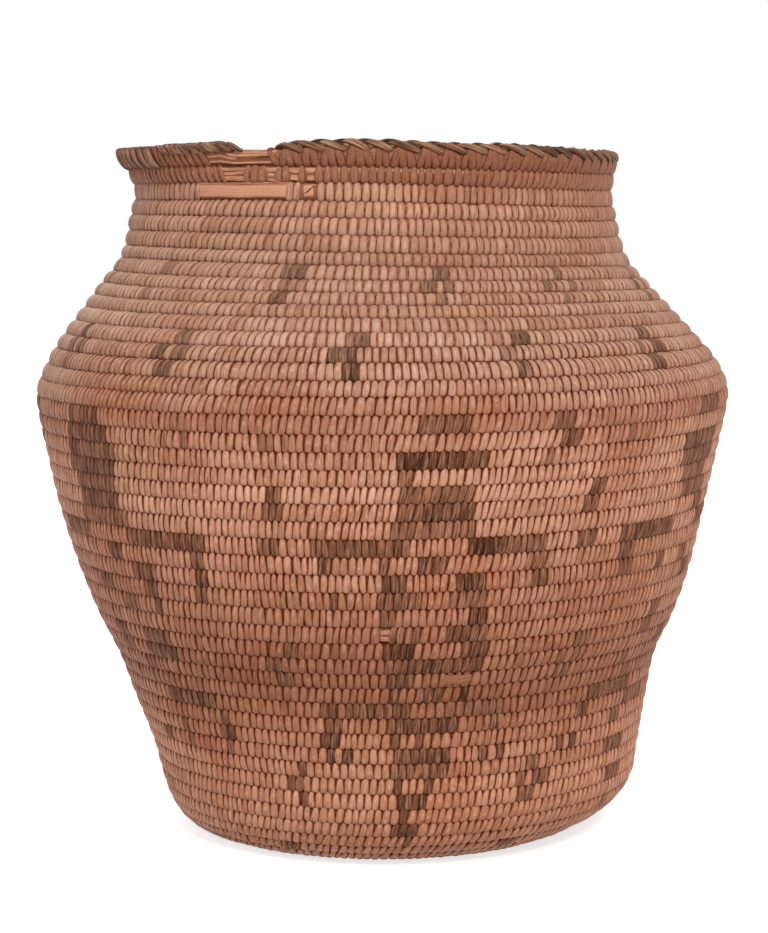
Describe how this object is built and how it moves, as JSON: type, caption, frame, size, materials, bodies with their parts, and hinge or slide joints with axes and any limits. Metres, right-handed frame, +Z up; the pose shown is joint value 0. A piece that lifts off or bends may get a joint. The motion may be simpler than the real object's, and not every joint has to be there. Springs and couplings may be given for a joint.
{
  "type": "coiled basket",
  "caption": "Round-shouldered coiled storage jar basket: spiral bundle foundation sewn row by row with splints, narrow neck, braided rim, figures and crosses in dark splint.",
  "frame": {"origin": "on the floor, under the middle of the basket's outline", "axes": "+Z up through the mouth, -Y towards the viewer of the picture, +X to the right"},
  "size_m": [0.2483, 0.2483, 0.2477],
  "materials": {
    "willow_sewing": "peeled willow splint, satin, aged",
    "bundle_foundation": "bare plant-fibre bundle, matte",
    "devils_claw": "dark seed-pod splint, low sheen"
  },
  "bodies": {
    "root": {"start_knot": "devils_claw", "foundation_coil": "bundle_foundation", "base_sewing": "willow_sewing", "wall_row_01": "willow_sewing", "wall_row_02": "willow_sewing", "wall_row_03": "willow_sewing", "wall_row_04": "willow_sewing", "wall_row_05": "willow_sewing", "wall_row_06": "willow_sewing", "wall_row_07": "willow_sewing", "wall_row_08": "willow_sewing", "wall_row_09": "willow_sewing", "wall_row_10": "willow_sewing", "wall_row_11": "willow_sewing", "wall_row_12": "willow_sewing", "wall_row_13": "willow_sewing", "wall_row_14": "willow_sewing", "wall_row_15": "willow_sewing", "wall_row_16": "willow_sewing", "wall_row_17": "willow_sewing", "wall_row_18": "willow_sewing", "wall_row_19": "willow_sewing", "wall_row_20": "willow_sewing", "wall_row_21": "willow_sewing", "wall_row_22": "willow_sewing", "wall_row_23": "willow_sewing", "wall_row_24": "willow_sewing", "wall_row_25": "willow_sewing", "wall_row_26": "willow_sewing", "wall_row_27": "willow_sewing", "wall_row_28": "willow_sewing", "wall_row_29": "willow_sewing", "wall_row_30": "willow_sewing", "wall_row_31": "willow_sewing", "wall_row_32": "willow_sewing", "wall_row_33": "willow_sewing", "wall_row_34": "willow_sewing", "wall_row_35": "willow_sewing", "wall_row_36": "willow_sewing", "wall_row_37": "willow_sewing", "wall_row_38": "willow_sewing", "wall_row_39": "willow_sewing", "wall_row_40": "willow_sewing", "wall_row_41": "willow_sewing", "wall_row_42": "willow_sewing", "wall_row_43": "willow_sewing", "wall_row_44": "willow_sewing", "wall_row_45": "willow_sewing", "wall_row_46": "willow_sewing", "wall_row_47": "willow_sewing", "wall_row_48": "willow_sewing", "closing_row": "willow_sewing", "rim_braid_long": "devils_claw", "rim_braid_short": "devils_claw"}
  },
  "joints": []
}
